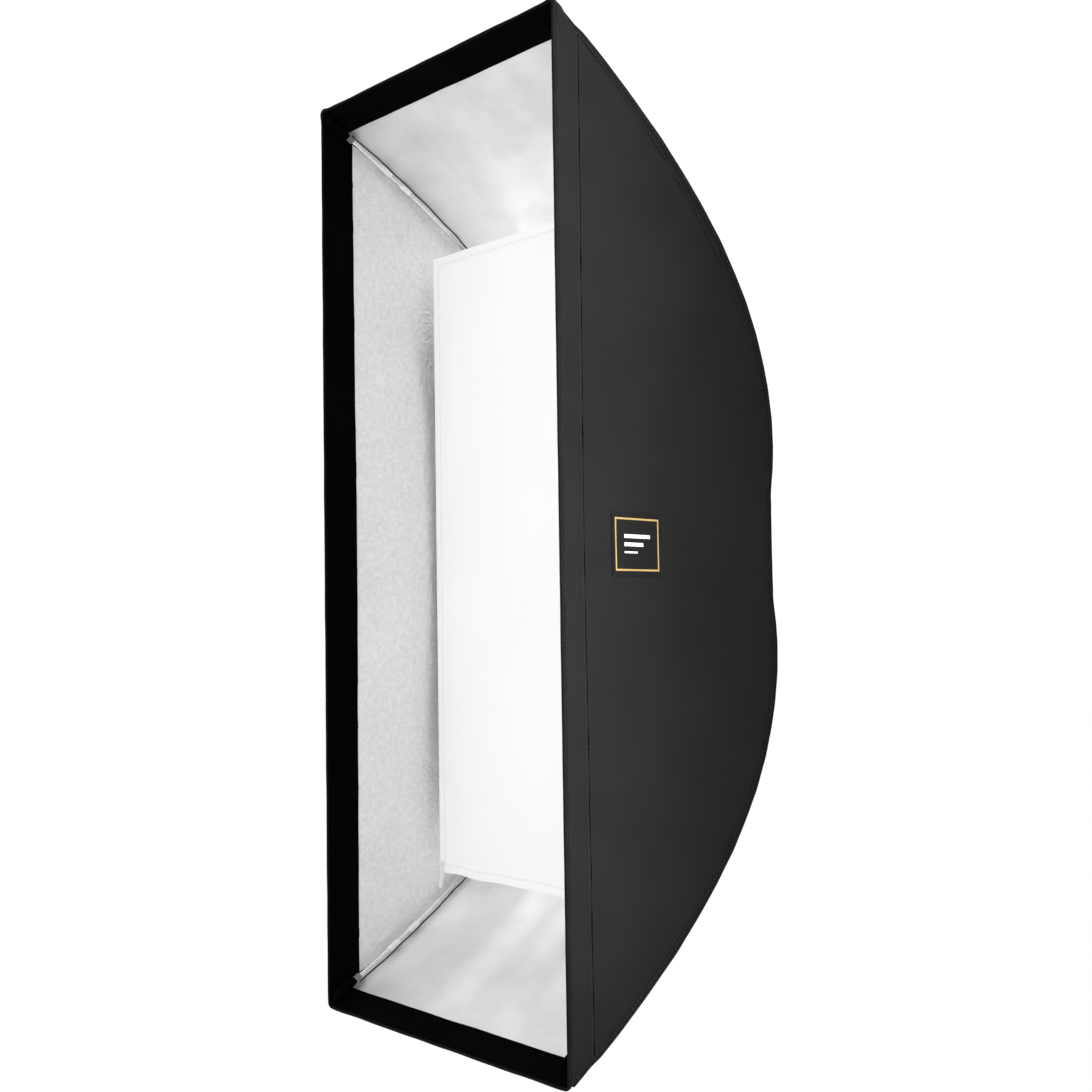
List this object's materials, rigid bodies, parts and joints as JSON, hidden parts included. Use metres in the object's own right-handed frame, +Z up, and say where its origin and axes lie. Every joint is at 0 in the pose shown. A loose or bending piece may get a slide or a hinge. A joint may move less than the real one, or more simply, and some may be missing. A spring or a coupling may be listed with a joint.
{
  "type": "strip softbox",
  "caption": "Quick-fold strip softbox: sprung rods on a turning speedring hold a black shell with silver lining, black front lip and white inner baffle.",
  "frame": {"origin": "centre of the plane where the bayonet insert meets the lamp", "axes": "+Y from the front opening back towards the lamp, +Z up along the long side, +X to the right seen from the front"},
  "size_m": [0.3564, 0.3685, 0.914],
  "materials": {
    "outer_fabric": "matt black woven nylon with a faint sheen",
    "silver_lining": "pebbled silver coated lining",
    "black_lining": "deep black brushed loop fabric",
    "binding_tape": "black grosgrain tape",
    "diffusion_fabric": "translucent white diffusion nylon",
    "elastic": "black ribbed elastic",
    "white_elastic": "white ribbed elastic",
    "woven_label": "woven label with a muted gold border",
    "cast_ring": "satin black powder coat",
    "insert_metal": "machined",
    "bracket_steel": "satin black",
    "plated_steel": "zinc plated",
    "rod_steel": "drawn bright spring steel",
    "black_plastic": "moulded",
    "grey_plastic": "moulded"
  },
  "bodies": {
    "mount_insert": {"mount_insert": "insert_metal"},
    "softbox": {"baffle": "diffusion_fabric", "baffle_straps": "white_elastic", "bracket_bottom_left": "bracket_steel", "bracket_bottom_right": "bracket_steel", "bracket_screws": "plated_steel", "bracket_top_left": "bracket_steel", "bracket_top_right": "bracket_steel", "collar_binding": "elastic", "front_hem": "binding_tape", "hinge_pin_bottom_left": "plated_steel", "hinge_pin_bottom_right": "plated_steel", "hinge_pin_top_left": "plated_steel", "hinge_pin_top_right": "plated_steel", "label_patch": "woven_label", "latch_pins": "plated_steel", "latch_springs": "plated_steel", "lip_bottom": "black_lining", "lip_left": "black_lining", "lip_right": "black_lining", "lip_top": "black_lining", "retaining_ring": "cast_ring", "retaining_screws": "plated_steel", "seam_binding_bottom_left": "binding_tape", "seam_binding_bottom_right": "binding_tape", "seam_binding_top_left": "binding_tape", "seam_binding_top_right": "binding_tape", "shell_back": "outer_fabric", "shell_bottom": "outer_fabric", "shell_left": "outer_fabric", "shell_right": "outer_fabric", "shell_top": "outer_fabric", "speedring_body": "cast_ring"},
    "lock_knob": {"lock_knob": "black_plastic"},
    "rod_top_right": {"rod_base_top_right": "plated_steel", "rod_top_right": "rod_steel", "rod_tip_top_right": "grey_plastic", "corner_pocket_top_right": "black_lining", "rod_loops_top_right": "silver_lining"},
    "latch_top_right": {"latch_top_right": "grey_plastic"},
    "rod_top_left": {"rod_base_top_left": "plated_steel", "rod_top_left": "rod_steel", "rod_tip_top_left": "grey_plastic", "corner_pocket_top_left": "black_lining", "rod_loops_top_left": "silver_lining"},
    "latch_top_left": {"latch_top_left": "grey_plastic"},
    "rod_bottom_right": {"rod_base_bottom_right": "plated_steel", "rod_bottom_right": "rod_steel", "rod_tip_bottom_right": "grey_plastic", "corner_pocket_bottom_right": "black_lining", "rod_loops_bottom_right": "silver_lining"},
    "latch_bottom_right": {"latch_bottom_right": "grey_plastic"},
    "rod_bottom_left": {"rod_base_bottom_left": "plated_steel", "rod_bottom_left": "rod_steel", "rod_tip_bottom_left": "grey_plastic", "corner_pocket_bottom_left": "black_lining", "rod_loops_bottom_left": "silver_lining"},
    "latch_bottom_left": {"latch_bottom_left": "grey_plastic"}
  },
  "joints": [
    {"name": "ring_turn", "type": "hinge", "parent": "mount_insert", "child": "softbox", "pos_m": [0, 0, 0], "axis": [0, 1, 0], "continuous": true},
    {"name": "lock_knob_turn", "type": "hinge", "parent": "softbox", "child": "lock_knob", "pos_m": [0, -0.009, -0.1], "axis": [0, 0, 1], "range_deg": [0, 540]},
    {"name": "rod_top_right_fold", "type": "hinge", "parent": "softbox", "child": "rod_top_right", "pos_m": [0.118, -0.034, 0.05], "axis": [1, 0, 0], "range_deg": [0, 50], "deforming": ["shell_left", "shell_right", "shell_back", "lip_left", "lip_right", "front_hem", "baffle", "baffle_straps", "shell_top", "lip_top", "seam_binding_top_right", "seam_binding_top_left"]},
    {"name": "latch_top_right_press", "type": "hinge", "parent": "softbox", "child": "latch_top_right", "pos_m": [0.118, -0.036, 0.036], "axis": [1, 0, 0], "range_deg": [0, 15], "stiffness_Nm_per_rad": 0.3, "springref_deg": -11.46},
    {"name": "rod_top_left_fold", "type": "hinge", "parent": "softbox", "child": "rod_top_left", "pos_m": [-0.118, -0.034, 0.05], "axis": [1, 0, 0], "range_deg": [0, 50]},
    {"name": "latch_top_left_press", "type": "hinge", "parent": "softbox", "child": "latch_top_left", "pos_m": [-0.118, -0.036, 0.036], "axis": [1, 0, 0], "range_deg": [0, 15], "stiffness_Nm_per_rad": 0.3, "springref_deg": -11.46},
    {"name": "rod_bottom_right_fold", "type": "hinge", "parent": "softbox", "child": "rod_bottom_right", "pos_m": [0.118, -0.034, -0.05], "axis": [-1, 0, 0], "range_deg": [0, 50], "deforming": ["shell_left", "shell_right", "shell_back", "lip_left", "lip_right", "front_hem", "baffle", "baffle_straps", "shell_bottom", "lip_bottom", "seam_binding_bottom_right", "seam_binding_bottom_left"]},
    {"name": "latch_bottom_right_press", "type": "hinge", "parent": "softbox", "child": "latch_bottom_right", "pos_m": [0.118, -0.036, -0.036], "axis": [-1, 0, 0], "range_deg": [0, 15], "stiffness_Nm_per_rad": 0.3, "springref_deg": -11.46},
    {"name": "rod_bottom_left_fold", "type": "hinge", "parent": "softbox", "child": "rod_bottom_left", "pos_m": [-0.118, -0.034, -0.05], "axis": [-1, 0, 0], "range_deg": [0, 50]},
    {"name": "latch_bottom_left_press", "type": "hinge", "parent": "softbox", "child": "latch_bottom_left", "pos_m": [-0.118, -0.036, -0.036], "axis": [-1, 0, 0], "range_deg": [0, 15], "stiffness_Nm_per_rad": 0.3, "springref_deg": -11.46}
  ],
  "couplings": [
    {"joint": "rod_top_left_fold", "follows": "rod_top_right_fold", "ratio": 1},
    {"joint": "rod_bottom_left_fold", "follows": "rod_bottom_right_fold", "ratio": 1}
  ]
}
